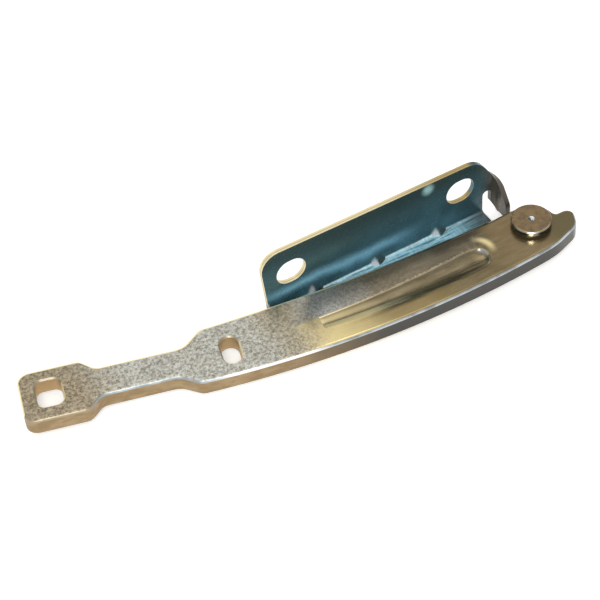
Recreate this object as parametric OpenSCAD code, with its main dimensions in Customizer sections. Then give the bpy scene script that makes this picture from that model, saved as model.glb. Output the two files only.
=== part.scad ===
// Bonnet hinge: a folded sheet bracket, a thick blanked arm with a pressed groove,
// and one rivet that the arm turns on, in a flanged bush over a thrust washer.
//
// Origin: middle of the bracket's two slots, on the mounting face.
// +X runs along the slots towards the pivot, +Y points out of the mounting face
// and +Z is the way the rivet head looks.

/* [Bracket sheet] */
// Sheet thickness of the bracket
sheet_t = 2.5; // [2:0.1:3]
// Inner radius of the long fold
fold_r = 1.6; // [1.2:0.1:3]

/* [Mounting flange] */
// Distance between the centres of the two slots
slot_pitch = 92; // [84:1:110]
// Slot length, end to end
slot_len = 15.4; // [13:0.2:17]
// Slot width
slot_w = 13.6; // [10:0.2:14.5]
// From the first slot's centre to the flange's free end
flange_end = 15.8; // [14:0.2:20]
// From the slot line up to the flange's top edge
flange_rise = 15.4; // [13:0.2:20]
// How far the top edge falls towards the pivot end
flange_fall = 1.9; // [0:0.1:3]
// Radius of the flange's top corner at its free end
flange_corner_r = 9; // [4:0.5:11]
// How far the free end leans out between the fold and the top
flange_lean = 2.8; // [0:0.2:5]
// From where the top edge turns down to the tab's fold
shoulder_before_tab = 7.3; // [6:0.1:9]
// Angle of the turned-down edge below the slot line
shoulder_angle = 58; // [55:1:61]
// Radius of the corner where the top edge turns down
shoulder_r = 12; // [8:0.5:14]

/* [Base flange] */
// From the slot line down to the base flange's inner face
slot_above_base = 20.3; // [19:0.1:26]
// Width of the base flange at its free end, from the mounting face
base_end_w = 31; // [26:0.5:36]
// Radius of the base flange round the pivot
base_eye_r = 13.5; // [12:0.25:15]
// Radius of the base flange's free corner
base_corner_r = 10; // [4:0.5:12]

/* [Fold ribs] */
// Number of ribs pressed into the fold
rib_count = 3; // [1:1:3]
// Distance between the ribs
rib_pitch = 34; // [26:1:36]
// From the first slot's centre to the first rib
rib_past_slot = 11.5; // [8:0.5:14]
// Height of a rib's ridge up the flange
rib_h = 6.2; // [5:0.1:7]
// Reach of a rib's ridge out over the base flange
rib_out = 2.8; // [2.6:0.1:4]
// Width of a rib at its foot
rib_w = 9.5; // [8:0.5:12]
// Radius of a rib's ridge
rib_r = 3; // [2.8:0.1:3.6]

/* [Stop tab] */
// How far the tab's outer face stands past the pivot axis
tab_past_pivot = 1.5; // [0:0.1:3]
// From the mounting face to the tab's free edge
tab_depth = 10.8; // [10:0.1:11.2]
// Radius of the tab's free corner
tab_corner_r = 5; // [2:0.5:8]
// Inner radius of the tab's fold
tab_fold_r = 3; // [2:0.25:4]
// Angle of the tab's edges below the slot line, in the flat sheet
tab_angle = 54; // [50:1:58]
// From the slot line down to the tab's lower edge, where its fold starts
tab_foot_drop = 16.3; // [14:0.1:18]
// From the tab's free edge on to the base flange
tab_gap = 2; // [1:0.1:3]
// Width of the relief slot beside the tab's fold
relief_w = 4.7; // [4.5:0.1:6]
// Radius of the relief slot's corners
relief_r = 2.2; // [1:0.1:2.3]
// From the slot line down to the top of the relief slot
relief_drop = 8.2; // [7.5:0.1:10]

/* [Pivot] */
// From the mounting face to the pivot axis
pivot_from_face = 29.8; // [28.5:0.1:33]
// From the second slot's centre to the pivot axis
pivot_past_slot = 21.5; // [20:0.5:26]
// Rivet shank radius
shank_r = 5; // [4:0.1:5.4]
// Rivet head radius
head_r = 9.6; // [9:0.1:11]
// Rivet head thickness
head_t = 2.5; // [2:0.1:4]
// Chamfer round the rivet head
head_edge = 0.4; // [0.2:0.1:0.8]
// Radius of the countersunk tail at the base flange's outer face
tail_r = 7; // [6:0.1:8]
// Radius of the punch mark in the middle of the head
punch_r = 1.6; // [1:0.1:2.5]
// Depth of the punch mark
punch_depth = 0.8; // [0.4:0.1:1.2]
// Outer radius of the bush, and of the arm's bore
bush_r = 7; // [6.2:0.1:8]
// Radius of the bush flange under the rivet head
bush_flange_r = 8.6; // [8.2:0.1:9]
// Thickness of the bush flange
bush_flange_t = 1.2; // [0.8:0.1:2]
// Outer radius of the thrust washer
washer_r = 11.5; // [10:0.25:12.5]
// Thickness of the thrust washer
washer_t = 1.2; // [0.8:0.1:2]
// Running clearance of the shank in the bush, on the radius
running_clearance = 0.05; // [0.02:0.01:0.1]
// End play of the arm, on each side
end_play = 0.05; // [0.02:0.01:0.1]

/* [Arm] */
// Plate thickness of the arm
arm_t = 8; // [6:0.25:10]
// From the pivot to the arm's free end, along the neck
arm_reach = 248; // [240:1:290]
// Angle of the neck below the bracket's length
neck_tilt = 16; // [14:0.5:17]
// How far the neck's centre line passes from the pivot
neck_offset = 33; // [32:0.25:34]
// Width of the neck
neck_w = 17; // [14:0.5:20]
// Length of the neck
neck_len = 40; // [34:1:46]
// How much sooner the near shoulder of the blade starts than the far one
shoulder_skew = 5; // [0:0.5:8]
// Length of the end pad
pad_len = 35; // [32:0.5:40]
// Width of the end pad
pad_w = 29.8; // [27:0.2:34]
// Radius of the end pad's outer corners
pad_corner_r = 5.5; // [3:0.5:7]
// Length of the slope from the neck out to the pad
pad_step_len = 6.5; // [5:0.5:9]
// Radius at the outer end of that slope
pad_step_r = 5; // [3:0.5:7]
// Radius of the hollow at its inner end
pad_hollow_r = 5.5; // [3:0.5:7]
// Width of the blade where it leaves the neck
blade_w = 31.6; // [29:0.2:33]
// How far the blade's middle lies to the far side of the neck's
blade_offset = 1; // [0:0.25:2]
// Length of the slope from the neck out to the blade
blade_step_len = 9; // [7:0.5:11]
// Radius at the outer end of that slope
blade_step_r = 6; // [4:0.5:8]
// Radius of the hollow at its inner end
blade_hollow_r = 9.5; // [5:0.5:11]
// How far the blade's near edge bows out
near_bow = 8; // [5:0.25:10]
// How far the blade's far edge bows in
far_bow = 3; // [1.5:0.25:4.5]
// Radius of the arm's eye round the pivot
eye_r = 13.2; // [12:0.1:14]
// How far the blade's near edge passes from the pivot
near_offset = 17; // [16:0.1:19]
// How far past the pivot the near edge's bow ends
near_past_pivot = 3; // [1:0.5:5]
// Radius where the near edge's bow turns up to the nose
near_end_r = 40; // [20:1:44]
// How far before the pivot the far edge's bow starts
far_before_pivot = 12; // [9:0.5:16]

/* [Stop nose] */
// Reach of the nose's corner from the pivot
nose_reach = 23.2; // [22.6:0.1:23.8]
// How far the nose's corner lies to the near side of the pivot
nose_drop = 0.2; // [0:0.1:1]
// Radius of the nose's corner
nose_r = 4; // [2:0.5:5]
// From the nose's corner back to its heel
nose_heel_in = 4.9; // [4:0.1:5.2]
// From the near edge up to the nose's heel
nose_heel_up = 5.3; // [4.4:0.1:5.6]
// Radius of the nose's heel
nose_heel_r = 9; // [4:0.5:12]
// Radius of the hollow between the nose and the eye
nose_root_r = 2; // [1:0.25:2.5]

/* [Arm edges] */
// Radius of the rolled edge on the arm's upper face
roll_r = 1.6; // [0.8:0.1:2]
// Share by which the roll is larger on the far side
far_roll = 0.5; // [0:0.05:0.6]

/* [Arm holes] */
// Eye hole size along the neck
pad_hole_len = 11.8; // [10:0.2:13]
// Eye hole size across the neck
pad_hole_w = 15.2; // [13:0.2:17]
// Corner radius of the eye hole
pad_hole_r = 3.5; // [2:0.25:4.5]
// From the arm's free end to the middle of the eye hole
pad_hole_in = 13; // [12:0.2:15]
// From the middle of the eye hole to the arm slot
arm_slot_pitch = 82.5; // [76:0.5:88]
// Arm slot length, across the neck
arm_slot_len = 15.6; // [12:0.2:20]
// Arm slot width
arm_slot_w = 8.6; // [7:0.2:11]
// Chamfer round the holes on the arm's upper face
hole_edge = 0.7; // [0.3:0.1:1]

/* [Pressed groove] */
// Distance of the groove's middle line from the near edge
groove_in = 13.9; // [13:0.1:15]
// From the pivot back to the groove's round end
groove_start = 27; // [24:0.5:32]
// Length of the groove
groove_len = 87; // [70:1:92]
// Width of the groove at its round end
groove_wide = 15; // [11:0.2:16]
// Width of the groove at its blunt end
groove_narrow = 7.6; // [5:0.2:9]
// Depth of the groove at its round end
groove_deep = 2.4; // [1.2:0.1:3]
// Depth of the groove at its blunt end
groove_shallow = 1.1; // [0.6:0.1:1.6]

/* [Hidden] */
$fn = 64;

// Overshoot of a cut beyond the face it opens
cut = 1;
// Segments in a rounded corner, along a bowed edge and across a rolled edge
corner_n = 6;
bow_n = 22;
roll_n = 5;
// Segments of the fold where the tab's edge is trimmed, and round an eye
fold_n = 12;
eye_n = 16;

first_slot_x = -slot_pitch / 2;
second_slot_x = slot_pitch / 2;
pivot_x = second_slot_x + pivot_past_slot;
pivot_y = -pivot_from_face;

base_z = -slot_above_base;
base_under_z = base_z - sheet_t;
arm_under_z = base_z + washer_t + end_play;
arm_top_z = arm_under_z + arm_t;
head_under_z = arm_top_z + bush_flange_t + end_play;

fold_out_r = fold_r + sheet_t;
inner_y = -sheet_t;
fold_y = inner_y - fold_r;
fold_z = base_z + fold_r;
flange_left_x = first_slot_x - flange_end;
flange_foot_x = flange_left_x + flange_lean;
tab_x = pivot_x + tab_past_pivot;
tab_inner_x = tab_x - sheet_t;
tab_fold_x = tab_inner_x - tab_fold_r;
tab_fold_y = inner_y - tab_fold_r;
tab_fold_out_r = tab_fold_r + sheet_t;
tab_fold_mid_r = tab_fold_r + sheet_t / 2;
shoulder_x = tab_fold_x - shoulder_before_tab;
relief_x = tab_fold_x - relief_w;
relief_depth = tab_depth + tab_gap;

pad_in = arm_reach - pad_len;
neck_in = pad_in - neck_len;
pad_hole_at = arm_reach - pad_hole_in;
arm_slot_at = pad_hole_at - arm_slot_pitch;

// Plane geometry

function unit(v) = v / norm(v);
function left_of(v) = [-v.y, v.x];

// Points of the arc from p to q that bows out by sag on the right-hand side, ends left out
function bowed(p, q, sag, n) =
    let(
        half = norm(q - p) / 2,
        r = (half * half + sag * sag) / (2 * sag),
        c = (p + q) / 2 + left_of(unit(q - p)) * (r - sag),
        from = atan2(p.y - c.y, p.x - c.x),
        to = atan2(q.y - c.y, q.x - c.x)
    )
    [for (i = [1 : n - 1]) let(a = from + (to - from) * i / n) c + abs(r) * [cos(a), sin(a)]];

// Points of an arc about c
function turned(c, r, from, to, n) =
    [for (i = [0 : n]) let(a = from + (to - from) * i / n) c + r * [cos(a), sin(a)]];

// Arc of radius r that rounds the corner b between a and c
function corner(a, b, c, r) =
    let(
        u = unit(a - b),
        w = unit(c - b),
        half = acos(u * w) / 2,
        o = b + unit(u + w) * r / sin(half),
        p = b + u * r / tan(half) - o,
        q = b + w * r / tan(half) - o,
        from = atan2(p.y, p.x),
        turn = atan2(q.y, q.x) - from,
        sweep = turn > 180 ? turn - 360 : turn < -180 ? turn + 360 : turn
    )
    turned(o, r, from, from + sweep, corner_n);

function flat(p) = [p.x, p.y];

// Outline of corners [x, y, radius]; a corner of no radius stays a point
function rounded(corners) =
    let(n = len(corners))
    [
        for (i = [0 : n - 1])
            let(b = corners[i])
            each b[2] > 0
                ? corner(flat(corners[(i + n - 1) % n]), flat(b), flat(corners[(i + 1) % n]), b[2])
                : [flat(b)]
    ];

function sharp(points) = [for (p = points) [p.x, p.y, 0]];

// Step at each point that moves an outline inwards by 1; the outline runs anticlockwise
function inward_steps(points) =
    let(n = len(points))
    [
        for (i = [0 : n - 1])
            let(
                before = left_of(unit(points[i] - points[(i + n - 1) % n])),
                after = left_of(unit(points[(i + 1) % n] - points[i])),
                m = unit(before + after)
            )
            m / (m * before)
    ];

// Closed body through equal rings of points, first ring lowest
module lofted(rings) {
    n = len(rings[0]);
    last = len(rings) - 1;
    polyhedron(
        points = [for (ring = rings) each ring],
        faces = concat(
            [[for (i = [0 : n - 1]) i]],
            [[for (i = [n - 1 : -1 : 0]) last * n + i]],
            [
                for (k = [0 : last - 1], i = [0 : n - 1])
                    [k * n + i, (k + 1) * n + i, (k + 1) * n + (i + 1) % n, k * n + (i + 1) % n]
            ]
        )
    );
}

// Closed ring through equal loops of points, the loops turning outside up and in
module ring_of(loops) {
    n = len(loops[0]);
    m = len(loops);
    polyhedron(
        points = [for (loop = loops) each loop],
        faces = [
            for (k = [0 : m - 1], i = [0 : n - 1])
                let(up = (k + 1) % m, next = (i + 1) % n)
                [k * n + i, up * n + i, up * n + next, k * n + next]
        ]
    );
}

// Slot of full round ends along X, cut through along Z
module round_slot(length, width, depth) {
    for (side = [-1, 1])
        translate([side * (length - width) / 2, 0, 0])
            cylinder(h = depth, r = width / 2);
    translate([-(length - width) / 2, -width / 2, 0])
        cube([length - width, width, depth]);
}

// Bracket

// Height of the turned-down edge at X
function shoulder_z(x) = flange_rise - flange_fall - (x - shoulder_x) * tan(shoulder_angle);

tab_top_z = shoulder_z(tab_fold_x);

// Flange seen square to the mounting face, with its relief slot and the tab still too high and too low
flange_outline = rounded([
    [flange_foot_x, fold_z, 0],
    [relief_x, fold_z, 0],
    [relief_x, -relief_drop, relief_r],
    [tab_fold_x, -relief_drop, relief_r],
    [tab_fold_x, base_under_z, 0],
    [tab_x + cut, base_under_z, 0],
    [tab_x + cut, tab_top_z, 0],
    [tab_fold_x, tab_top_z, 0],
    [shoulder_x, shoulder_z(shoulder_x), shoulder_r],
    [flange_left_x, flange_rise, flange_corner_r]
]);

// Base flange seen from above: its near edge runs on to the eye as a tangent, and so does its far edge
// from the end of the relief slot
pivot = [pivot_x, pivot_y];
base_end = [flange_foot_x, -base_end_w];
relief_end = [relief_x, -relief_depth];
// Direction from p to the pivot, and the turn from it to the tangent at the eye
function pivot_dir(p) = atan2(pivot.y - p.y, pivot.x - p.x);
function tangent_turn(p) = 90 + asin(base_eye_r / norm(pivot - p));
base_eye_from = pivot_dir(base_end) - tangent_turn(base_end);
base_eye_to = pivot_dir(relief_end) + tangent_turn(relief_end);
base_outline = rounded(concat(
    [[base_end.x, base_end.y, base_corner_r]],
    sharp(turned(pivot, base_eye_r, base_eye_from, base_eye_to, eye_n)),
    [
        [relief_end.x, relief_end.y, relief_r],
        [relief_x, fold_y, 0],
        [flange_foot_x, fold_y, 0]
    ]
));

// Quarter of a folded sheet about Z, from +X round to +Y
module fold_quarter(length) {
    difference() {
        intersection() {
            cylinder(h = length, r = fold_out_r);
            cube([fold_out_r, fold_out_r, length]);
        }
        translate([0, 0, -cut])
            cylinder(h = length + 2 * cut, r = fold_r);
    }
}

// Sheet of the flange, its end fold and the tab, seen from above
module flange_path() {
    translate([flange_left_x, -sheet_t])
        square([tab_fold_x - flange_left_x, sheet_t]);
    translate([tab_fold_x, tab_fold_y])
        intersection() {
            difference() {
                circle(r = tab_fold_out_r);
                circle(r = tab_fold_r);
            }
            square(tab_fold_out_r);
        }
    translate([tab_inner_x, -tab_depth])
        square([sheet_t, tab_depth + tab_fold_y]);
}

// Run of the sheet's middle round the tab's fold, and on to the tab's free edge
fold_run = tab_fold_mid_r * PI / 2;
tab_run = fold_run + tab_depth + tab_fold_y;

// Fall of the tab's edges over a run along the flat sheet
function tab_fall(run) = run * tan(tab_angle);

// Upper edge of the tab as the flat sheet has it: the turned-down edge running on, then a round corner
tab_edge = concat(
    [for (i = [0 : fold_n]) let(run = fold_run * i / fold_n) [run, tab_top_z - tab_fall(run)]],
    corner(
        [fold_run, tab_top_z - tab_fall(fold_run)],
        [tab_run, tab_top_z - tab_fall(tab_run)],
        [tab_run, 2 * base_z],
        tab_corner_r
    ),
    [[tab_run + cut, tab_top_z - tab_fall(tab_run) - tab_corner_r]]
);

// Lower edge of the tab, from the relief slot down to the level of the bracket's underside
foot_run = (-tab_foot_drop - base_under_z) / tan(tab_angle);
tab_foot = concat(
    [[-cut, -tab_foot_drop]],
    [for (i = [0 : fold_n]) let(run = foot_run * i / fold_n) [run, -tab_foot_drop - tab_fall(run)]]
);

// Section between two heights at a run along the sheet from the fold's start, square to the sheet
function tab_section(run, low, high) =
    let(
        a = 90 * (1 - min(max(run, 0) / fold_run, 1)),
        out = [cos(a), sin(a)],
        start = [tab_fold_x + min(run, 0), tab_fold_y - max(run - fold_run, 0)],
        inner = start + out * (tab_fold_r - cut / 2),
        outer = start + out * (tab_fold_out_r + cut / 2)
    )
    [[outer.x, outer.y, high], [inner.x, inner.y, high], [inner.x, inner.y, low], [outer.x, outer.y, low]];

// Mounting flange with the tab that stops the arm's nose
module flange_and_tab() {
    difference() {
        intersection() {
            translate([0, 0, base_under_z])
                linear_extrude(flange_rise - base_under_z + cut)
                    flange_path();
            translate([0, cut, 0])
                rotate([90, 0, 0])
                    linear_extrude(tab_depth + 2 * cut)
                        polygon(flange_outline);
        }
        lofted([for (e = tab_edge) tab_section(e[0], e[1], flange_rise + cut)]);
        lofted([for (e = tab_foot) tab_section(e[0], base_under_z - cut, e[1])]);
    }
}

// Long fold between the base flange and the mounting flange
module long_fold() {
    translate([flange_foot_x, fold_y, fold_z])
        rotate([0, 90, 0])
            fold_quarter(relief_x - flange_foot_x);
}

// Ribs pressed into the fold from outside: the ridge leans across the fold's inner corner
rib_slope = atan2(rib_out, rib_h);
rib_tip = rib_h * sin(rib_slope);
// Half of the angle between a rib's flanks
rib_lean = atan2(rib_w / 2, rib_tip);

function rib_x(i) = first_slot_x + rib_past_slot + i * rib_pitch;

// Wedge at X whose ridge of radius r stands tip from the fold's inner corner, going back behind it
module rib_wedge(x, r, tip, back) {
    reach = 2 * rib_h;
    point = tip + r * (1 / sin(rib_lean) - 1);
    spread = (point + back) * tan(rib_lean);
    translate([x, inner_y, base_z])
        rotate([-rib_slope, 0, 0])
            translate([0, 0, -reach])
                linear_extrude(2 * reach)
                    polygon(rounded([[0, -point, r], [spread, back, 0], [-spread, back, 0]]));
}

module fold_ribs() {
    intersection() {
        for (i = [0 : rib_count - 1])
            rib_wedge(rib_x(i), rib_r, rib_tip, sheet_t);
        translate([flange_left_x, -base_end_w, base_z - sheet_t / 2])
            cube([shoulder_x - flange_left_x, base_end_w - sheet_t / 2, slot_above_base]);
    }
}

module rib_hollows() {
    for (i = [0 : rib_count - 1])
        rib_wedge(rib_x(i), max(rib_r - sheet_t, 0), rib_tip - sheet_t, rib_h);
}

module bracket() {
    color("slategray")
        difference() {
            union() {
                flange_and_tab();
                long_fold();
                translate([0, 0, base_under_z])
                    linear_extrude(sheet_t)
                        polygon(base_outline);
                fold_ribs();
            }
            rib_hollows();
            for (x = [first_slot_x, second_slot_x])
                translate([x, cut, 0])
                    rotate([90, 0, 0])
                        round_slot(slot_len, slot_w, sheet_t + 2 * cut);
            translate([pivot_x, pivot_y, base_under_z - cut])
                cylinder(h = sheet_t + 2 * cut, r = shank_r);
            translate([pivot_x, pivot_y, base_under_z])
                cylinder(h = sheet_t, r1 = tail_r, r2 = shank_r);
        }
}

// Arm, drawn about the pivot at rest

// Point at a distance along the neck and to its far side, seen from the pivot
function neck(along, across) =
    [
        -along * cos(neck_tilt) + (across - neck_offset) * sin(neck_tilt),
        along * sin(neck_tilt) + (across - neck_offset) * cos(neck_tilt)
    ];

function neck_corner(along, across, r) = [neck(along, across).x, neck(along, across).y, r];

near_neck_in = neck_in + shoulder_skew;
near_from = neck(near_neck_in - blade_step_len, blade_offset - blade_w / 2);
near_to = [near_past_pivot, -near_offset];
far_from = [-far_before_pivot, eye_r];
far_to = neck(neck_in - blade_step_len, blade_offset + blade_w / 2);
nose_heel = [nose_reach - nose_heel_in, nose_heel_up - near_offset];
// Where the eye's arc leaves the hollow beside the nose
eye_from = 15;

arm_outline = rounded(concat(
    [
        neck_corner(arm_reach, -pad_w / 2, pad_corner_r),
        neck_corner(pad_in + pad_step_len, -pad_w / 2, pad_step_r),
        neck_corner(pad_in, -neck_w / 2, pad_hollow_r),
        neck_corner(near_neck_in, -neck_w / 2, blade_hollow_r),
        [near_from.x, near_from.y, blade_step_r]
    ],
    sharp(bowed(near_from, near_to, near_bow, bow_n)),
    [
        [near_to.x, near_to.y, near_end_r],
        [nose_heel.x, nose_heel.y, nose_heel_r],
        [nose_reach, -nose_drop, nose_r],
        [eye_r, 0, nose_root_r]
    ],
    sharp(turned([0, 0], eye_r, eye_from, 90, eye_n / 2)),
    [[far_from.x, far_from.y, 0]],
    sharp(bowed(far_from, far_to, -far_bow, bow_n)),
    [
        [far_to.x, far_to.y, blade_step_r],
        neck_corner(neck_in, neck_w / 2, blade_hollow_r),
        neck_corner(pad_in, neck_w / 2, pad_hollow_r),
        neck_corner(pad_in + pad_step_len, pad_w / 2, pad_step_r),
        neck_corner(arm_reach, pad_w / 2, pad_corner_r)
    ]
));

// Size of the roll at each point of the outline, as a share of roll_r
roll_steps = inward_steps(arm_outline);
roll_sizes = [for (s = roll_steps) 1 + far_roll * pow(max(0, -unit(s).y), 2)];

// Loop round the outline, moved inwards and down from the upper face by shares of the roll
function roll_loop(inwards, down) =
    [
        for (i = [0 : len(arm_outline) - 1])
            let(p = arm_outline[i] + roll_steps[i] * roll_sizes[i] * inwards)
            [p.x, p.y, arm_t - roll_sizes[i] * down]
    ];

// What the rolled edge takes off the plate: a closed ring round the whole outline
module roll_waste() {
    profile = concat(
        [[-cut / 2, roll_r], [-cut / 2, -cut], [roll_r, -cut]],
        [
            for (k = [roll_n : -1 : 0])
                let(a = 90 * k / roll_n)
                [roll_r * (1 - cos(a)), roll_r * (1 - sin(a))]
        ]
    );
    ring_of([for (e = profile) roll_loop(e[0], e[1])]);
}

// Blanked plate: square below, rolled over above
module arm_plate() {
    difference() {
        linear_extrude(arm_t)
            polygon(arm_outline);
        roll_waste();
    }
}

// The groove follows the near edge's arc
near_half = norm(near_to - near_from) / 2;
near_r = (near_half * near_half + near_bow * near_bow) / (2 * near_bow);
near_c = (near_from + near_to) / 2 + left_of(unit(near_to - near_from)) * (near_r - near_bow);
groove_r = near_r - groove_in;
groove_to_a = atan2(-near_c.y, -groove_start - near_c.x);
groove_turn = groove_len / groove_r * 180 / PI;
// Share of the groove taken by its round end, and of the section left at its very tip
groove_round = groove_wide / 2 / groove_len;
groove_tip = 0.04;
groove_n = 12;
groove_round_n = 8;
groove_section_n = 12;

// How far into the round end share s lies, from 0 to 1
function into_round(s) = max(0, (s - 1 + groove_round) / groove_round);
function groove_half_w(s) =
    (groove_narrow + (groove_wide - groove_narrow) * s) / 2
    * max(groove_tip, sqrt(max(0, 1 - pow(into_round(s), 2))));
function groove_depth(s) =
    (groove_shallow + (groove_deep - groove_shallow) * s) * max(groove_tip, 1 - pow(into_round(s), 4));

// Share of the depth across the groove: it runs out softly at the near side, t = -1, and ends in a far crease
function groove_dish(t) = pow(1 - t * t, t < 0 ? 2 : 1);

// Dished section of the groove at share s of its length from the blunt end
function groove_ring(s) =
    let(
        a = groove_to_a - groove_turn * (1 - s),
        w = groove_half_w(s),
        d = groove_depth(s),
        out = [cos(a), sin(a)],
        mid = near_c + groove_r * out
    )
    [
        each [for (side = [1, -1]) let(p = mid - out * side * w) [p.x, p.y, arm_t + cut]],
        for (j = [0 : groove_section_n])
            let(t = 2 * j / groove_section_n - 1, p = mid - out * t * w)
            [p.x, p.y, arm_t - d * groove_dish(t)]
    ];

groove_stations = concat(
    [for (i = [0 : groove_n]) (1 - groove_round) * i / groove_n],
    [for (i = [1 : groove_round_n]) 1 - groove_round + groove_round * sin(90 * i / groove_round_n)]
);

module groove() {
    lofted([for (s = groove_stations) groove_ring(s)]);
}

// Chamfer of a round hole at the arm's upper face
module round_edge(r) {
    translate([0, 0, arm_t - hole_edge])
        cylinder(h = hole_edge + cut, r1 = r, r2 = r + hole_edge + cut);
}

// Chamfer of both straight sides along X, half_w apart from the middle
module straight_edge(length, half_w) {
    wide = half_w + hole_edge + cut;
    translate([-length / 2, 0, arm_t - hole_edge])
        rotate([90, 0, 90])
            linear_extrude(length)
                polygon([[-half_w, 0], [half_w, 0], [wide, hole_edge + cut], [-wide, hole_edge + cut]]);
}

// Oblong hole of the end pad, long side across the neck
module pad_hole() {
    l = pad_hole_len / 2 - pad_hole_r;
    w = pad_hole_w / 2 - pad_hole_r;
    for (x = [-l, l], y = [-w, w])
        translate([x, y, 0]) {
            translate([0, 0, -cut])
                cylinder(h = arm_t + 2 * cut, r = pad_hole_r);
            round_edge(pad_hole_r);
        }
    straight_edge(2 * l, pad_hole_w / 2);
    rotate([0, 0, 90])
        straight_edge(2 * w, pad_hole_len / 2);
    translate([-l - pad_hole_r, -w, -cut])
        cube([pad_hole_len, 2 * w, arm_t + 2 * cut]);
    translate([-l, -w - pad_hole_r, -cut])
        cube([2 * l, pad_hole_w, arm_t + 2 * cut]);
}

// Slot across the neck
module arm_slot() {
    straight = arm_slot_len - arm_slot_w;
    translate([0, 0, -cut])
        round_slot(arm_slot_len, arm_slot_w, arm_t + 2 * cut);
    straight_edge(straight, arm_slot_w / 2);
    for (x = [-straight / 2, straight / 2])
        translate([x, 0, 0])
            round_edge(arm_slot_w / 2);
}

// Places a cut on the neck's centre line, with X along the neck
module on_neck(along) {
    p = neck(along, 0);
    translate([p.x, p.y, 0])
        rotate([0, 0, -neck_tilt])
            children();
}

module arm() {
    color("silver")
        translate([pivot_x, pivot_y, arm_under_z])
            difference() {
                arm_plate();
                groove();
                on_neck(pad_hole_at)
                    pad_hole();
                on_neck(arm_slot_at)
                    rotate([0, 0, 90])
                        arm_slot();
                translate([0, 0, -cut])
                    cylinder(h = arm_t + 2 * cut, r = bush_r);
            }
}

// Pivot

module pivot_rivet() {
    top = head_under_z + head_t;
    color("rosybrown")
        translate([pivot_x, pivot_y, 0])
            rotate_extrude()
                polygon([
                    [0, base_under_z],
                    [tail_r, base_under_z],
                    [shank_r, base_z],
                    [shank_r, head_under_z],
                    [head_r - head_edge, head_under_z],
                    [head_r, head_under_z + head_edge],
                    [head_r, top - head_edge],
                    [head_r - head_edge, top],
                    [punch_r, top],
                    [0, top - punch_depth]
                ]);
}

module pivot_bush() {
    color("dimgray")
        translate([pivot_x, pivot_y, arm_under_z])
            difference() {
                union() {
                    cylinder(h = arm_t + bush_flange_t, r = bush_r);
                    translate([0, 0, arm_t])
                        cylinder(h = bush_flange_t, r = bush_flange_r);
                }
                translate([0, 0, -cut])
                    cylinder(h = arm_t + bush_flange_t + 2 * cut, r = shank_r + running_clearance);
            }
}

module thrust_washer() {
    color("dimgray")
        translate([pivot_x, pivot_y, base_z])
            difference() {
                cylinder(h = washer_t, r = washer_r);
                translate([0, 0, -cut])
                    cylinder(h = washer_t + 2 * cut, r = shank_r + running_clearance);
            }
}

bracket();
arm();
pivot_rivet();
pivot_bush();
thrust_washer();
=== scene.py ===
"""Looks of the bonnet hinge: plated finishes, a pale studio and the photograph's camera."""

import math

import bpy
from mathutils import Matrix, Vector


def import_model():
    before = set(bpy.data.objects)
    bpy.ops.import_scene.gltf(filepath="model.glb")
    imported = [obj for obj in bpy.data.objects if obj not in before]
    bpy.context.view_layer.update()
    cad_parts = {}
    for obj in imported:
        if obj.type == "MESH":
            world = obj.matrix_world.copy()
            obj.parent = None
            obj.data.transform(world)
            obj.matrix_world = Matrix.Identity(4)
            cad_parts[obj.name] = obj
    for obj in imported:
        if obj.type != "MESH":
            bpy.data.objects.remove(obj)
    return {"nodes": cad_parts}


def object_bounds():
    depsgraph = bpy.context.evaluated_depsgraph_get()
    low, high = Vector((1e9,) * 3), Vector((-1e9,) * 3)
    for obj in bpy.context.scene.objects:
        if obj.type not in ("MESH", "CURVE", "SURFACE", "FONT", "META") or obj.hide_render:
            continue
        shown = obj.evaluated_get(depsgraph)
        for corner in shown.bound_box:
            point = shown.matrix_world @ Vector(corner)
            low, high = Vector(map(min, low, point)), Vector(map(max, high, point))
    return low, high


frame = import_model()
cad_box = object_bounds()

MM = 0.001

# Camera, fitted to the photograph
CAMERA_AIM = Vector((-47.15, -11.03, -11.05)) * MM
CAMERA_DISTANCE = 909.1 * MM
CAMERA_AZIMUTH = math.radians(27.54)
CAMERA_ELEVATION = math.radians(47.6)
CAMERA_ROLL = math.radians(-4.5)
CAMERA_LENS = 120
SENSOR = 36

# Studio, with places and sizes in metres and energy in watts
LAMP_COLOUR = (1.0, 0.98, 0.95)
KEY_PLACE = (-0.55, -0.75, 0.95)
KEY_SIZE = (0.45, 0.45)
KEY_ENERGY = 9.0
TOP_PLACE = (0.15, 0.35, 1.3)
TOP_SIZE = (1.2, 0.8)
TOP_ENERGY = 3.5
WORLD_LOW = (0.9, 0.9, 0.9, 1)
WORLD_HIGH = (0.72, 0.71, 0.69, 1)
WORLD_RISE = (-0.1, 0.8)
FLOOR_REACH = 6.0
FLOOR_GAP = 0.05 * MM
FLOOR_COLOUR = (0.85, 0.85, 0.85, 1)
FLOOR_ROUGHNESS = 0.9
FLOOR_LIFT = 0.35

# Smooth shading
WELD = 0.002 * MM
CREASE = math.radians(38)

# Places on the part that the finishes follow, in millimetres
PIVOT = (67.5, -29.8)
NEAR_FROM = Vector((-108.13, -29.17))
NEAR_TO = Vector((70.5, -46.8))
NEAR_BOW = 8.0
PUNCH = 1.6
# Distance of the groove's far crease from the near edge at X 0, and its growth along X
CREASE_IN = 19.7
CREASE_RISE = 0.043
# Middle of the groove's round end, and of the painted highlight crescent round it
GROOVE_END = (33.5, -33.5)
CRESCENT = (36.0, -30.6)
# Radius over which the light on the ribs' edges is softened
RIB_SOFT = 1.6
# Middle of the painted highlight patch on the flange
GLEAM = (28.1, -2.5, 10.6)
# Middles of the arm's two holes, and the radius within which either lies
ARM_HOLES = ((-168.4, 3.3), (-89.1, -19.4))
HOLE_REACH = (10.5, 9.5)
# Turn about the pivot of the painted highlight on the front of the rivet's rim
RIM_HIGHLIGHT_TURN = math.radians(-117.5)

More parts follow.
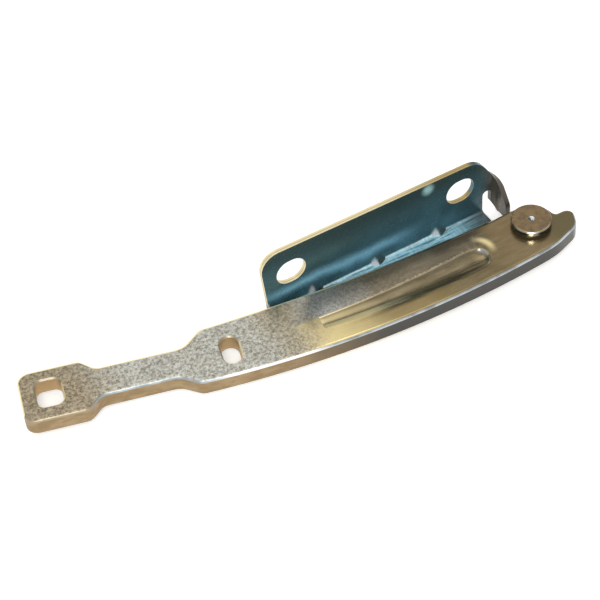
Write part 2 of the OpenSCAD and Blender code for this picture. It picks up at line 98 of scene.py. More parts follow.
# Contrast of a noise, as the range that is spread from 0 to 1
MILD = (0.25, 0.75)
EVEN = (0.3, 0.7)
STRONG = (0.35, 0.65)
HARD = (0.4, 0.6)


def linear(value):
    """Linear light of an sRGB value from 0 to 255."""
    v = value / 255
    return v / 12.92 if v <= 0.04045 else ((v + 0.055) / 1.055) ** 2.4


def rgb(r, g, b):
    return (linear(r), linear(g), linear(b), 1.0)


class Graph:
    """A material's node tree, with places in millimetres."""

    def __init__(self, name):
        self.material = bpy.data.materials.new(name)
        self.material.use_nodes = True
        self.tree = self.material.node_tree
        self.shader = self.tree.nodes["Principled BSDF"]
        place = self.node("ShaderNodeTexCoord")
        self.mm = self.vector("MULTIPLY", place.outputs["Object"], (1 / MM, 1 / MM, 1 / MM))
        self.flat = self.stretched(1, 1, 0)
        self.x, self.y, self.z = self.split(self.mm)
        self.nx, self.ny, self.nz = self.split(place.outputs["Normal"])

    def node(self, kind, inputs=None, **settings):
        made = self.tree.nodes.new(kind)
        for key, value in settings.items():
            setattr(made, key, value)
        for key, value in (inputs or {}).items():
            self.feed(made.inputs[key], value)
        return made

    def feed(self, socket, value):
        if isinstance(value, bpy.types.NodeSocket):
            self.tree.links.new(value, socket)
        else:
            socket.default_value = value

    def split(self, vector):
        return self.node("ShaderNodeSeparateXYZ", {"Vector": vector}).outputs

    def vector(self, operation, a, b):
        return self.node("ShaderNodeVectorMath", {0: a, 1: b}, operation=operation).outputs["Vector"]

    def stretched(self, x, y, z):
        return self.vector("MULTIPLY", self.mm, (x, y, z))

    def distance(self, place):
        """Distance from a place; from one that has only X and Y it is taken in plan."""
        start = self.mm if len(place) == 3 else self.flat
        made = self.node("ShaderNodeVectorMath", {0: start, 1: (*place, 0)[:3]}, operation="DISTANCE")
        return made.outputs["Value"]

    def polar(self, middle):
        """Distance from a middle and turn about it, in plan."""
        x, y, _ = self.split(self.vector("SUBTRACT", self.flat, (*middle, 0)))
        return self.distance(middle), self.math("ARCTAN2", y, x)

    def math(self, operation, a, b=0.0):
        return self.node("ShaderNodeMath", {0: a, 1: b}, operation=operation).outputs[0]

    def absolute(self, value):
        return self.math("ABSOLUTE", value)

    def times(self, *values):
        product = values[0]
        for value in values[1:]:
            product = self.math("MULTIPLY", product, value)
        return product

    def ramp(self, value, low, high):
        """0 at low, 1 at high, smooth between; low may be the larger."""
        if low > high:
            return self.math("SUBTRACT", 1.0, self.ramp(value, high, low))
        made = self.node("ShaderNodeMapRange", {"Value": value, "From Min": low, "From Max": high},
                         interpolation_type="SMOOTHSTEP")
        return made.outputs["Result"]

    def band(self, value, low, high, soft):
        """1 between low and high, falling off over soft on either side."""
        rise = self.ramp(value, low - soft, low + soft)
        fall = self.ramp(value, high + soft, high - soft)
        return self.times(rise, fall)

    def mix(self, factor, a, b):
        made = self.node("ShaderNodeMix", data_type="RGBA")
        self.feed(made.inputs[0], factor)
        self.feed(made.inputs[6], a)
        self.feed(made.inputs[7], b)
        return made.outputs[2]

    def paint(self, base, colour, mask, share=1.0):
        """The base with a colour over it where the mask is 1; share is how far it covers."""
        return self.mix(self.times(mask, share), base, colour)

    def blend(self, factor, a, b):
        made = self.node("ShaderNodeMix", data_type="FLOAT")
        self.feed(made.inputs[0], factor)
        self.feed(made.inputs[2], a)
        self.feed(made.inputs[3], b)
        return made.outputs[0]

    def noise(self, scale, detail=2.0, roughness=0.5, vector=None):
        made = self.node("ShaderNodeTexNoise", {
            "Vector": self.mm if vector is None else vector,
            "Scale": scale, "Detail": detail, "Roughness": roughness})
        return made.outputs["Fac"]

    def waver(self, noise, reach):
        """A noise as a shift to either side, in millimetres."""
        return self.times(self.math("SUBTRACT", noise, 0.5), reach)

    def finish(self, colour, metallic, roughness, bump, strength, distance, normal=None):
        self.feed(self.shader.inputs["Base Color"], colour)
        self.feed(self.shader.inputs["Metallic"], metallic)
        self.feed(self.shader.inputs["Roughness"], roughness)
        made = self.node("ShaderNodeBump", {"Height": bump, "Strength": strength, "Distance": distance * MM})
        if normal is not None:
            self.feed(made.inputs["Normal"], normal)
        self.feed(self.shader.inputs["Normal"], made.outputs["Normal"])
        return self.material


def near_arc():
    """Centre and radius of the arm's near edge, in millimetres."""
    chord = NEAR_TO - NEAR_FROM
    half = chord.length / 2
    radius = (half * half + NEAR_BOW * NEAR_BOW) / (2 * NEAR_BOW)
    left = Vector((-chord.y, chord.x)).normalized()
    return (NEAR_FROM + NEAR_TO) / 2 + left * (radius - NEAR_BOW), radius


# Arm's grain: share of the finer of its two noises
FINER_SHARE = 0.45


class ArmGraph(Graph):
    """The arm's node tree, with the directions and the grain that its finish follows."""

    def __init__(self, name):
        super().__init__(name)
        centre, radius = near_arc()
        self.inward = self.math("SUBTRACT", radius, self.distance(centre))
        self.along = self.math("ADD", self.x, self.waver(self.noise(scale=0.08, detail=3), reach=16))
        crease = self.math("ADD", self.times(self.x, CREASE_RISE), CREASE_IN)
        self.past_crease = self.math("SUBTRACT", self.inward, crease)
        self.grain = self.blend(FINER_SHARE, self.noise(scale=0.7), self.noise(scale=1.6))
        self.specks = self.ramp(self.grain, *EVEN)
        self.in_hole = 0.0
        for place in ARM_HOLES:
            self.in_hole = self.math("MAXIMUM", self.in_hole, self.ramp(self.distance(place), *HOLE_REACH))


# Arm, speckled part: where along X each tone comes in, and its dark and light specks
SPECKLES_END = (-60, -44)
PAD_FROM = (-132, -158)
WARM_FROM = (-80, -58)
GREY_SPECKS = (rgb(128, 127, 120), rgb(214, 214, 206))
DULL_SPECKS = (rgb(116, 112, 100), rgb(190, 186, 172))
PAD_SPECKS = (rgb(108, 97, 78), rgb(182, 170, 146))
WARM_SPECKS = (rgb(128, 118, 96), rgb(204, 192, 164))


def speckled(g):
    """Neck and pad: grey specks, browner on the pad and warmer towards the groove."""
    clouds = g.ramp(g.noise(scale=0.09, detail=3), *STRONG)
    tone = g.mix(g.specks, *GREY_SPECKS)
    tone = g.paint(tone, g.mix(g.specks, *DULL_SPECKS), clouds, share=0.5)
    tone = g.paint(tone, g.mix(g.specks, *PAD_SPECKS), g.ramp(g.x, *PAD_FROM))
    return g.paint(tone, g.mix(g.specks, *WARM_SPECKS), g.ramp(g.along, *WARM_FROM), share=0.8)


# Arm, smooth part: where along X its tones change on either side of the crease
STRAW_TO_OCHRE = (-48, -6)
OCHRE_TO_BROWN = (-6, 30)
COOL_TO_WARM = (-40, -12)
WARM_TO_DARK = (0, 26)
EYE_FROM = (36, 52)
NOSE_FROM = (64, 76)
CREASE_BLEND = (-0.6, 0.3)
STRAW_REFLECTION = rgb(232, 214, 156)
OCHRE = rgb(150, 132, 90)
BROWN = rgb(118, 104, 74)
COOL_GREY_REFLECTION = rgb(176, 178, 176)
WARM_GREY = rgb(128, 118, 100)
DARK_GREY = rgb(98, 90, 77)
EYE_BROWN = rgb(134, 116, 84)
NOSE_BROWN = rgb(114, 104, 76)


def smooth_sides(g):
    """Blade: painted reflection in straw by the near edge and cool grey past the crease, each giving way to
    brown towards the pivot.
    """
    # painted reflection in straw by the near edge, giving way to ochre and brown along X
    near = g.mix(g.ramp(g.along, *STRAW_TO_OCHRE), STRAW_REFLECTION, OCHRE)
    near = g.paint(near, BROWN, g.ramp(g.along, *OCHRE_TO_BROWN))
    # painted reflection in cool grey past the crease, giving way to warm and dark grey along X
    far = g.mix(g.ramp(g.along, *COOL_TO_WARM), COOL_GREY_REFLECTION, WARM_GREY)
    far = g.paint(far, DARK_GREY, g.ramp(g.along, *WARM_TO_DARK))
    both = g.mix(g.ramp(g.past_crease, *CREASE_BLEND), near, far)
    return g.paint(both, EYE_BROWN, g.ramp(g.x, *EYE_FROM))


# Groove: stretches inward from the near edge and along X, each with its softness
SLOPE_IN = (8.2, 10.6, 2.4)
SLOPE_RUN = (-30, 30, 10)
SLOPE_DEEPENS = (-40, -14)
SLOPE_SHADE_TONES = (rgb(78, 71, 54), rgb(34, 31, 25))
PATCH_IN = (7.6, 12, 1.5)
PATCH_RUN = (-18, 4, 8)
PATCH_SHADE = rgb(30, 28, 22)
BED_FROM = (11.6, 14)
BED_TO_CREASE = (0, -0.8)
BED_RUN = (-46, 36, 3)
BED_DARKENS = (-44, -8)
BED_REFLECTION_TONES = (rgb(160, 147, 111), rgb(98, 89, 68))
JAGGED_IN = (-0.1, 0.5, 0.4)
JAGGED_RUN = (-46, 34, 3)
JAGGED_HIGHLIGHT = rgb(190, 184, 172)
HALO_IN = (11, 21, 3)
HALO_RUN = (-52, -48, 3)
HALO_SHADE = rgb(96, 86, 72)
BLUNT_IN = (8.4, 12.6, 1.2)
BLUNT_RUN = (-50, -20, 8)
BLUNT_PAINTED_LIGHT = rgb(196, 178, 126)


def groove(g, top):
    """Groove: painted shade on the near slope, painted tan reflection in the bed, a jagged painted highlight
    on the crease, painted shade round the blunt end.
    """
    # painted shade on the groove's near slope
    slope = g.times(g.band(g.inward, *SLOPE_IN), g.band(g.along, *SLOPE_RUN))
    top = g.paint(top, g.mix(g.ramp(g.along, *SLOPE_DEEPENS), *SLOPE_SHADE_TONES), slope, share=0.9)
    # painted shade, darker, on the middle of the near slope
    patch = g.times(g.band(g.inward, *PATCH_IN), g.band(g.x, *PATCH_RUN))
    top = g.paint(top, PATCH_SHADE, patch, share=0.65)
    # painted reflection: tan in the groove's bed, darkening along X
    bed = g.times(g.ramp(g.inward, *BED_FROM), g.ramp(g.past_crease, *BED_TO_CREASE), g.band(g.x, *BED_RUN))
    top = g.paint(top, g.mix(g.ramp(g.along, *BED_DARKENS), *BED_REFLECTION_TONES), bed)
    # painted highlight, broken and jagged, along the crease
    broken = g.ramp(g.noise(scale=0.7, detail=3), *HARD)
    jagged = g.times(g.band(g.past_crease, *JAGGED_IN), g.band(g.x, *JAGGED_RUN), broken)
    top = g.paint(top, JAGGED_HIGHLIGHT, jagged, share=0.6)
    # painted shade round the groove's blunt end
    halo = g.times(g.band(g.x, *HALO_RUN), g.band(g.inward, *HALO_IN))
    return g.paint(top, HALO_SHADE, halo, share=0.7)


# Painted highlights round the groove's end: stretches outward and round it, in millimetres and radians
CRESCENT_OUT = (6.8, 9.4, 1.4)
CRESCENT_TURN = (-0.2, 0.95, 0.5)
CRESCENT_HIGHLIGHT = rgb(250, 234, 178)
RIM_OUT = (6.4, 7.2, 0.4)
RIM_TURN = (-1.0, 0.7, 0.3)
RIM_HIGHLIGHT = rgb(214, 206, 176)


def groove_end(g, top):
    """Painted highlight crescent beside the groove's round end, and a painted highlight on the end's rim."""
    out, turn = g.polar(CRESCENT)
    # painted highlight crescent beside the round end
    top = g.paint(top, CRESCENT_HIGHLIGHT, g.times(g.band(out, *CRESCENT_OUT), g.band(turn, *CRESCENT_TURN)))
    out, turn = g.polar(GROOVE_END)
    # painted highlight on the round end's rim
    rim = g.times(g.band(out, *RIM_OUT), g.band(turn, *RIM_TURN))
    return g.paint(top, RIM_HIGHLIGHT, rim, share=0.6)


# Thin specks that run on past the crease
THIN_RUN = (30, -50)
THIN_IN = (-1, 1)
THIN_SHARE = 0.35
THIN_DARK_SPECKS = (0.6, 0.2)
THIN_LIGHT_SPECKS = (0.45, 0.9)
THIN_DARK = rgb(92, 84, 70)
THIN_LIGHT = rgb(214, 208, 196)
# Fine streaks along the blade
STREAK_CONTRAST = (0.35, 0.7)
STREAK_LIGHT = rgb(186, 172, 142)
STREAK_HEIGHT = 0.1


def smooth(g, streak):
    """Blade's face, from the groove to the nose."""
    top = groove_end(g, groove(g, smooth_sides(g)))
    top = g.paint(top, STREAK_LIGHT, g.ramp(streak, *STREAK_CONTRAST), share=0.18)
    thin = g.times(g.ramp(g.along, *THIN_RUN), g.ramp(g.past_crease, *THIN_IN), THIN_SHARE)
    top = g.paint(top, THIN_DARK, g.times(thin, g.ramp(g.specks, *THIN_DARK_SPECKS)))
    top = g.paint(top, THIN_LIGHT, g.times(thin, g.ramp(g.specks, *THIN_LIGHT_SPECKS)), share=0.6)
    return g.paint(top, NOSE_BROWN, g.ramp(g.x, *NOSE_FROM))


# Arm's sides: painted reflection, tan towards the pad and grey by the pivot
TAN_TO_GREY = (-84, -14)
SIDE_REFLECTION_TONES = (rgb(143, 121, 89), rgb(72, 71, 68))
CLOUD_CONTRAST = (0.38, 0.66)
CLOUD_RUN = (-40, -84)
CLOUD_TAN = rgb(186, 166, 132)
HOLE_PAINTED_LIGHT_TAN = rgb(190, 163, 122)


def sides(g):
    """Sheared sides: painted reflection in tan at the pad and grey by the pivot, lighter tan clouds towards
    the pad, and painted light lifting the holes' walls.
    """
    # painted reflection: tan towards the pad, grey by the pivot
    side = g.mix(g.ramp(g.along, *TAN_TO_GREY), *SIDE_REFLECTION_TONES)
    # lighter tan clouds over the side towards the pad
    clouds = g.noise(scale=0.11, detail=4, roughness=0.65, vector=g.stretched(1, 1, 2.5))
    light_patch = g.times(g.ramp(clouds, *CLOUD_CONTRAST), g.ramp(g.along, *CLOUD_RUN))
    side = g.paint(side, CLOUD_TAN, light_patch, share=0.4)
    # painted light: the holes' walls lifted to tan out of their shade
    return g.paint(side, HOLE_PAINTED_LIGHT_TAN, g.in_hole)


# Arm's rolled upper edges: stretches along X, and of the normal's parts
SIDE_NORMAL = (0.3, 0.1)
ROLL_NORMAL = (0.2, 0.82, 0.1)
ROLL_FACES_NEAR = (-0.05, -0.25)
ROLL_FACES_FAR = (0.08, 0.25)
ROLL_FACES_UP = (0.2, 0.4)
GLINT_TONES = (rgb(146, 155, 158), rgb(186, 194, 197))
WHITE_RUN = (-98, -52, 6)
GLINT_WHITE = rgb(248, 249, 250)
PAD_ROLL_FROM = (-150, -158)
PAD_ROLL_GLINT = rgb(160, 148, 126)
HOLE_ROLL_GLINT = rgb(160, 152, 134)
FAR_ROLL_TO = (10, -30)
FAR_ROLL_HIGHLIGHT = rgb(250, 236, 190)


def rolled_edges(g, colour):
    """Painted highlights on the rolled edges: cool and white on the near one, pale straw on the far one."""
    # painted highlight on the near rolled edge: cool, white along the neck, toned down at the pad and by the
    # holes
    glint = g.mix(g.ramp(g.noise(scale=0.14, detail=3), *STRONG), *GLINT_TONES)
    glint = g.paint(glint, GLINT_WHITE, g.band(g.x, *WHITE_RUN))
    glint = g.paint(glint, PAD_ROLL_GLINT, g.ramp(g.x, *PAD_ROLL_FROM))
    glint = g.paint(glint, HOLE_ROLL_GLINT, g.in_hole)
    near = g.times(g.band(g.nz, *ROLL_NORMAL), g.ramp(g.ny, *ROLL_FACES_NEAR))
    # painted highlight in pale straw on the far rolled edge
    far = g.times(g.ramp(g.ny, *ROLL_FACES_FAR), g.ramp(g.nz, *ROLL_FACES_UP), g.ramp(g.along, *FAR_ROLL_TO))
    return g.paint(g.paint(colour, glint, near), FAR_ROLL_HIGHLIGHT, far)


# Arm's metal outside and in the groove's blunt end, and its roughness on dark and light specks and the blade
ARM_METAL = (0.85, 0.35)
SPECK_ROUGHNESS = (0.5, 0.4)
BLADE_ROUGHNESS = 0.24


def plated_plate():
    """Arm: speckled at the neck, smooth and straw-brown towards the pivot."""
    g = ArmGraph("plated_plate_finish")
    streak = g.noise(scale=0.3, detail=4, roughness=0.6, vector=g.stretched(0.3, 1.2, 1))
    is_smooth = g.ramp(g.along, *SPECKLES_END)
    top = g.mix(is_smooth, speckled(g), smooth(g, streak))
    colour = rolled_edges(g, g.paint(top, sides(g), g.ramp(g.absolute(g.nz), *SIDE_NORMAL)))
    # painted light: straw over the groove's blunt end, with less metal so that reflection does not darken it
    blunt = g.times(g.band(g.inward, *BLUNT_IN), g.band(g.x, *BLUNT_RUN))
    colour = g.paint(colour, BLUNT_PAINTED_LIGHT, blunt, share=0.7)
    metallic = g.blend(blunt, *ARM_METAL)
    roughness = g.blend(is_smooth, g.blend(g.specks, *SPECK_ROUGHNESS), BLADE_ROUGHNESS)
    height = g.blend(is_smooth, g.grain, g.times(streak, STREAK_HEIGHT))
    return g.finish(colour, metallic, roughness, bump=height, strength=0.25, distance=0.1)


# Flange: heights, stretches along X and parts of the normal
FLANGE_TONES = (rgb(64, 96, 104), rgb(76, 114, 126))
UPPER_FROM = (-2, 12)
UPPER_TEAL = rgb(52, 78, 82)
BAND_RISE = (-13.5, -8.5, 3.5)
BAND_RUN = (-62, 14, 16)
BAND_REFLECTION_BLUE = rgb(128, 184, 208)
GLEAM_REACH = (4.5, 0.5)
GLEAM_FACES = (-0.3, -0.6)
GLEAM_HIGHLIGHT = rgb(176, 228, 236)
TAB_FROM = (54, 67)
TAB_GREY = rgb(88, 83, 74)


def flange(g, cloud, sheen):
    """Mounting flange in cloudy teal with a painted reflection as a lighter blue band, a painted highlight
    patch, and the tab in grey.
    """
    teal = g.mix(g.ramp(cloud, *EVEN), *FLANGE_TONES)
    teal = g.paint(teal, UPPER_TEAL, g.ramp(g.z, *UPPER_FROM))
    # painted reflection: a lighter blue band across the flange
    teal = g.paint(teal, BAND_REFLECTION_BLUE, sheen)
    # painted highlight patch on the flange
    gleam = g.times(g.ramp(g.distance(GLEAM), *GLEAM_REACH), g.ramp(g.ny, *GLEAM_FACES))
    teal = g.paint(teal, GLEAM_HIGHLIGHT, gleam)
    return g.paint(teal, TAB_GREY, g.ramp(g.x, *TAB_FROM))


# Base flange and long fold
BASE_DEPTH = (-18.2, -19.6)
BASE_FACES_UP = (0.3, 0.7)
BASE_BLUES = (rgb(152, 204, 224), rgb(182, 232, 248))
STREAKS = (0.55, 0.35)
STREAK_BLUE = rgb(94, 136, 150)
OPEN_FROM = (-12, -20)
OPEN_BLUES = (rgb(84, 122, 134), rgb(98, 138, 150))
BASE_END = (34, 60)
BASE_END_GREY = rgb(72, 86, 88)
FOLD_DEPTH = (-17.8, -18.4)
FOLD_FACES_NEAR = (-0.74, -0.5, 0.1)
FOLD_FACES_UP = (0.2, 0.4)
FOLD_LEVEL = (0.15, 0.05)
FOLD_END = (52, 30)
FOLD_HATCH = (0.2, 0.6)
FOLD_HIGHLIGHT = rgb(214, 228, 232)


def base(g, colour, on_base):
    """Base flange in streaky blue, darker away from the fold, with a painted highlight line in the fold."""
    hatch = g.noise(scale=1.1, detail=3, roughness=0.6, vector=g.stretched(1, 0.08, 0.08))
    streak = g.noise(scale=0.9, detail=3, roughness=0.6, vector=g.stretched(0.1, 1, 1))
    hatched = g.ramp(hatch, *EVEN)
    blue = g.mix(hatched, *BASE_BLUES)
    blue = g.paint(blue, STREAK_BLUE, g.ramp(streak, *STREAKS))
    blue = g.paint(blue, g.mix(hatched, *OPEN_BLUES), g.ramp(g.y, *OPEN_FROM))
    blue = g.paint(blue, BASE_END_GREY, g.ramp(g.x, *BASE_END))
    colour = g.paint(colour, blue, on_base)
    # painted highlight along the fold, broken by the hatch
    fold = g.times(g.ramp(g.z, *FOLD_DEPTH), g.band(g.ny, *FOLD_FACES_NEAR), g.ramp(g.nz, *FOLD_FACES_UP))
    level = g.times(g.ramp(g.absolute(g.nx), *FOLD_LEVEL), g.ramp(g.x, *FOLD_END))
    return g.paint(colour, FOLD_HIGHLIGHT, g.times(fold, level, g.ramp(hatch, *FOLD_HATCH)))


# Ribs
RIBS_END = (56, 52)
RIB_SOFT_HEIGHT = (-18.5, -12.5, 0.6)
RIB_TOP = (-11.5, -13)
RIB_FACES_NEAR = (-0.1, -0.3)
RIB_SLOPE = (0.08, 0.4)
RIB_SHADE = rgb(78, 72, 60)
LIT_SLOPE = (-0.06, -0.3)
LIT_HEIGHT = (-13.4, -16.2)
LIT_HIGHLIGHT = rgb(246, 250, 252)


def softened(g):
    """Normal with the ribs' edges softened."""
    by_ribs = g.times(g.band(g.z, *RIB_SOFT_HEIGHT), g.ramp(g.x, *RIBS_END))
    return g.node("ShaderNodeBevel", {"Radius": g.times(by_ribs, RIB_SOFT * MM)}).outputs["Normal"]


def ribs(g, colour, normal):
    """Ribs: painted shade on the flanks, with a painted highlight on the foot of the left one."""
    across = g.split(normal)[0]
    rib = g.times(g.ramp(g.z, *RIB_TOP), g.ramp(g.ny, *RIB_FACES_NEAR), g.ramp(g.x, *RIBS_END))
    # painted shade on the ribs' flanks
    colour = g.paint(colour, RIB_SHADE, g.times(rib, g.ramp(g.absolute(across), *RIB_SLOPE)))
    # painted highlight on the foot of the left flank
    lit = g.times(g.ramp(across, *LIT_SLOPE), g.ramp(g.z, *LIT_HEIGHT))
    return g.paint(colour, LIT_HIGHLIGHT, g.times(rib, lit))


# Flange's sheared edge, with a darker line along it
EDGE_HEIGHT = (-17, -15.5)
EDGE_END = (54, 50)
EDGE_NORMAL = (0.5, 0.3)
EDGE_DARKENS = (0, 40)
EDGE_TONES = (rgb(222, 208, 166), rgb(172, 154, 104))
EDGE_LINE = (-1.5, -1.2, 0.18)
EDGE_LINE_DARK = rgb(104, 92, 64)
EDGE_ROUGHNESS = 0.38
# Bracket's metal outside and in its light blue parts, and the span of its roughness
SHEET_METAL = (0.5, 0.15)
SHEET_ROUGHNESS = (0.22, 0.28)


def plated_sheet():
    """Bracket: bluish passivate on rolled sheet, pale sheared edges."""
    g = Graph("plated_sheet_finish")
    cloud = g.noise(scale=0.05, detail=4, roughness=0.55)
    fine = g.noise(scale=0.5, detail=3, roughness=0.55)
    rise = g.math("ADD", g.z, g.waver(cloud, reach=8))
    # band of the painted reflection across the flange, which also has less metal
    sheen = g.times(g.band(rise, *BAND_RISE), g.band(g.x, *BAND_RUN))
    on_base = g.times(g.ramp(g.z, *BASE_DEPTH), g.ramp(g.nz, *BASE_FACES_UP))
    normal = softened(g)
    colour = ribs(g, base(g, flange(g, cloud, sheen), on_base), normal)
    edge = g.mix(g.ramp(g.x, *EDGE_DARKENS), *EDGE_TONES)
    edge = g.paint(edge, EDGE_LINE_DARK, g.band(g.y, *EDGE_LINE), share=0.7)
    on_edge = g.times(g.ramp(g.z, *EDGE_HEIGHT), g.ramp(g.x, *EDGE_END),
                      g.ramp(g.absolute(g.ny), *EDGE_NORMAL))
    colour = g.paint(colour, edge, on_edge)
    metallic = g.blend(g.math("MAXIMUM", sheen, on_base), *SHEET_METAL)
    roughness = g.blend(on_edge, g.blend(g.ramp(fine, *EVEN), *SHEET_ROUGHNESS), EDGE_ROUGHNESS)
    return g.finish(colour, metallic, roughness, bump=fine, strength=0.03, distance=0.05, normal=normal)


# Rivet: stretches out from the pivot, and parts of the normal
HEAD_TONES = (rgb(120, 104, 80), rgb(144, 121, 90))
RING_OUT = (4.4, 4.7, 0.25)
RING_LIGHT = rgb(170, 150, 118)
CHAMFER_GLINT_OUT = (8.7, 9.1)
CHAMFER_GLINT_FACES_UP = (0.4, 0.6)
CHAMFER_GLINT_NEAR = (PIVOT[1] + 1, PIVOT[1] - 4)
CHAMFER_GLINT_LEFT = (PIVOT[0] + 7, PIVOT[0] + 3)
CHAMFER_GLINT = rgb(212, 200, 170)
HEAD_RIM_NORMAL = (0.85, 0.6)
HEAD_RIM_HIGHLIGHT_WIDTH = (0.34, 0.05)
HEAD_RIM_REFLECTION_TONES = (rgb(66, 72, 72), rgb(236, 244, 248))
PUNCH_EDGE = (PUNCH, PUNCH - 0.2)
PUNCH_SLOPE = (-0.1, 0.15)
PUNCH_HIGHLIGHT_AND_SHADE = (rgb(206, 216, 222), rgb(84, 94, 98))
HEAD_ROUGHNESS = (0.26, 0.32)
POLISHED = 0.16
# Metal of the rivet, the bush and the washer
STEEL_METAL = 0.9


def rivet_steel():
    """Rivet: straw-brown head with fine mottling and a faint turned ring, painted highlights on the chamfer
    and the rim's front, a dark painted reflection on the rim, and painted highlight and shade in the punch
    dent.
    """
    g = Graph("rivet_steel_finish")
    mottled = g.noise(scale=0.45, detail=3)
    out, turn = g.polar(PIVOT)
    colour = g.mix(g.ramp(mottled, *MILD), *HEAD_TONES)
    colour = g.paint(colour, RING_LIGHT, g.band(out, *RING_OUT), share=0.2)
    # painted highlight on the lower left of the head's chamfer
    light_patch = g.times(g.ramp(out, *CHAMFER_GLINT_OUT), g.ramp(g.nz, *CHAMFER_GLINT_FACES_UP),
                   g.ramp(g.y, *CHAMFER_GLINT_NEAR), g.ramp(g.x, *CHAMFER_GLINT_LEFT))
    colour = g.paint(colour, CHAMFER_GLINT, light_patch, share=0.8)
    # painted reflection on the rim: dark, with a painted highlight at its front
    rim = g.ramp(g.absolute(g.nz), *HEAD_RIM_NORMAL)
    front = g.ramp(g.absolute(g.math("SUBTRACT", turn, RIM_HIGHLIGHT_TURN)), *HEAD_RIM_HIGHLIGHT_WIDTH)
    colour = g.paint(colour, g.mix(front, *HEAD_RIM_REFLECTION_TONES), rim)
    # painted highlight on the dent's right side and painted shade on its left
    dent = g.ramp(out, *PUNCH_EDGE)
    colour = g.paint(colour, g.mix(g.ramp(g.nx, *PUNCH_SLOPE), *PUNCH_HIGHLIGHT_AND_SHADE), dent)
    roughness = g.blend(g.ramp(mottled, *EVEN), *HEAD_ROUGHNESS)
    roughness = g.blend(g.math("MAXIMUM", rim, dent), roughness, POLISHED)
    return g.finish(colour, STEEL_METAL, roughness, bump=mottled, strength=0.03, distance=0.05)


# Bush and washer
BUSH_TONES = (rgb(70, 76, 76), rgb(104, 108, 104))
BUSH_ROUGHNESS = (0.32, 0.46)


def bush_steel():
    """Bush and washer: dark mottled steel."""
    g = Graph("bush_steel_finish")
    mottled = g.noise(scale=1.4, detail=4, roughness=0.6)
    spread = g.ramp(mottled, *EVEN)
    colour = g.mix(spread, *BUSH_TONES)
    roughness = g.blend(spread, *BUSH_ROUGHNESS)
    return g.finish(colour, STEEL_METAL, roughness, bump=mottled, strength=0.15, distance=0.05)


def smoothing():
    """Node group that welds a node's faces and shades them smooth between creases."""
    group = bpy.data.node_groups.new("smooth_between_creases", "GeometryNodeTree")
    group.interface.new_socket("Geometry", in_out="INPUT", socket_type="NodeSocketGeometry")
    group.interface.new_socket("Geometry", in_out="OUTPUT", socket_type="NodeSocketGeometry")
    new, link = group.nodes.new, group.links.new
    start = new("NodeGroupInput")
    end = new("NodeGroupOutput")
    weld = new("GeometryNodeMergeByDistance")
    weld.inputs["Distance"].default_value = WELD
    angle = new("GeometryNodeInputMeshEdgeAngle")
    crease = new("FunctionNodeCompare")
    crease.operation = "GREATER_THAN"
    crease.inputs[1].default_value = CREASE
    shade = new("GeometryNodeSetMeshNormal")
    shade.mode = "SHARPNESS"
    shade.inputs["Remove Custom"].default_value = True
    shade.inputs["Face Sharpness"].default_value = False
    link(start.outputs[0], weld.inputs["Geometry"])
    link(weld.outputs["Geometry"], shade.inputs["Mesh"])
    link(angle.outputs["Unsigned Angle"], crease.inputs[0])
    link(crease.outputs[0], shade.inputs["Edge Sharpness"])
    link(shade.outputs["Mesh"], end.inputs[0])
    return group


def dress(finishes):
    """Gives each node its finish and smooth shading."""
    group = smoothing()
    for name, material in finishes.items():
        piece = frame["nodes"][name]
        piece.data.materials.clear()
        piece.data.materials.append(material)
        shaded = piece.modifiers.new("smooth", "NODES")
        shaded.node_group = group
        weighted = piece.modifiers.new("weighted", "WEIGHTED_NORMAL")
        weighted.keep_sharp = True


def camera():
    """Camera of the photograph, turned by its roll about the line of sight."""
    forward = Vector((
        math.cos(CAMERA_ELEVATION) * math.sin(CAMERA_AZIMUTH),
        math.cos(CAMERA_ELEVATION) * math.cos(CAMERA_AZIMUTH),
        -math.sin(CAMERA_ELEVATION)))
    level = Vector((math.cos(CAMERA_AZIMUTH), -math.sin(CAMERA_AZIMUTH), 0))
    upright = level.cross(forward)
    right = level * math.cos(CAMERA_ROLL) + upright * math.sin(CAMERA_ROLL)
    up = upright * math.cos(CAMERA_ROLL) - level * math.sin(CAMERA_ROLL)
    data = bpy.data.cameras.new("camera")
    data.lens = CAMERA_LENS
    data.sensor_width = SENSOR
    eye = bpy.data.objects.new("camera", data)
    turn = Matrix((right, up, -forward)).transposed().to_4x4()
    eye.matrix_world = Matrix.Translation(CAMERA_AIM - forward * CAMERA_DISTANCE) @ turn
    bpy.context.collection.objects.link(eye)
    bpy.context.scene.camera = eye


def softbox(name, place, size, energy):
    """Soft lamp that points at what the camera looks at."""
    data = bpy.data.lights.new(name, "AREA")
    data.shape = "RECTANGLE"
    data.size, data.size_y = size
    data.energy = energy
    data.color = LAMP_COLOUR
    lamp = bpy.data.objects.new(name, data)
    lamp.location = place
    lamp.rotation_euler = (CAMERA_AIM - Vector(place)).to_track_quat("-Z", "Y").to_euler()
    bpy.context.collection.objects.link(lamp)


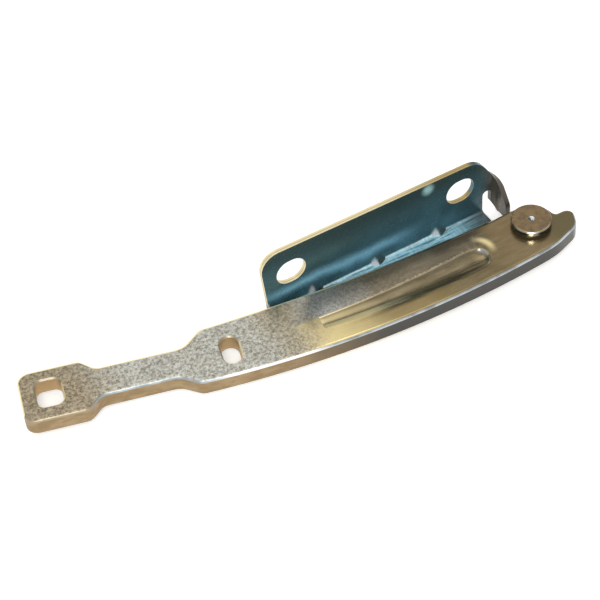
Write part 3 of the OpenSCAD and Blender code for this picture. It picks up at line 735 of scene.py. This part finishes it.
def world():
    """Pale surroundings that darken a little overhead."""
    studio = bpy.data.worlds.new("studio")
    studio.use_nodes = True
    tree = studio.node_tree
    place = tree.nodes.new("ShaderNodeTexCoord")
    split = tree.nodes.new("ShaderNodeSeparateXYZ")
    rise = tree.nodes.new("ShaderNodeMapRange")
    rise.interpolation_type = "SMOOTHSTEP"
    rise.inputs["From Min"].default_value, rise.inputs["From Max"].default_value = WORLD_RISE
    mix = tree.nodes.new("ShaderNodeMix")
    mix.data_type = "RGBA"
    mix.inputs[6].default_value = WORLD_LOW
    mix.inputs[7].default_value = WORLD_HIGH
    tree.links.new(place.outputs["Generated"], split.inputs["Vector"])
    tree.links.new(split.outputs["Z"], rise.inputs["Value"])
    tree.links.new(rise.outputs["Result"], mix.inputs[0])
    tree.links.new(mix.outputs[2], tree.nodes["Background"].inputs["Color"])
    bpy.context.scene.world = studio


def floor_white():
    """Floor's finish: lifted to white for the camera and in reflections."""
    material = bpy.data.materials.new("floor_white")
    material.use_nodes = True
    tree = material.node_tree
    shader = tree.nodes["Principled BSDF"]
    shader.inputs["Base Color"].default_value = FLOOR_COLOUR
    shader.inputs["Roughness"].default_value = FLOOR_ROUGHNESS
    shader.inputs["Specular IOR Level"].default_value = 0.0
    rays = tree.nodes.new("ShaderNodeLightPath")
    seen = rays.outputs["Is Camera Ray"]
    for kind in ("Is Glossy Ray", "Is Transmission Ray"):
        either = tree.nodes.new("ShaderNodeMath")
        either.operation = "MAXIMUM"
        tree.links.new(seen, either.inputs[0])
        tree.links.new(rays.outputs[kind], either.inputs[1])
        seen = either.outputs[0]
    lift = tree.nodes.new("ShaderNodeMath")
    lift.operation = "MULTIPLY"
    lift.inputs[1].default_value = FLOOR_LIFT
    tree.links.new(seen, lift.inputs[0])
    shader.inputs["Emission Color"].default_value = (1, 1, 1, 1)
    tree.links.new(lift.outputs[0], shader.inputs["Emission Strength"])
    return material


def floor():
    """Pale floor just under the part, which keeps the shadow."""
    height = cad_box[0][2] - FLOOR_GAP
    reach = FLOOR_REACH
    corners = [(-reach, -reach), (reach, -reach), (reach, reach), (-reach, reach)]
    mesh = bpy.data.meshes.new("floor")
    mesh.from_pydata([(x, y, height) for x, y in corners], [], [(0, 1, 2, 3)])
    mesh.materials.append(floor_white())
    plane = bpy.data.objects.new("floor", mesh)
    bpy.context.collection.objects.link(plane)


camera()
world()
floor()
softbox("key", KEY_PLACE, KEY_SIZE, KEY_ENERGY)
softbox("top", TOP_PLACE, TOP_SIZE, TOP_ENERGY)
dress({
    "bracket": plated_sheet(),
    "arm": plated_plate(),
    "pivot_rivet": rivet_steel(),
    "pivot_bush": bush_steel(),
    "thrust_washer": bush_steel(),
})
bpy.context.scene.view_settings.view_transform = "Standard"
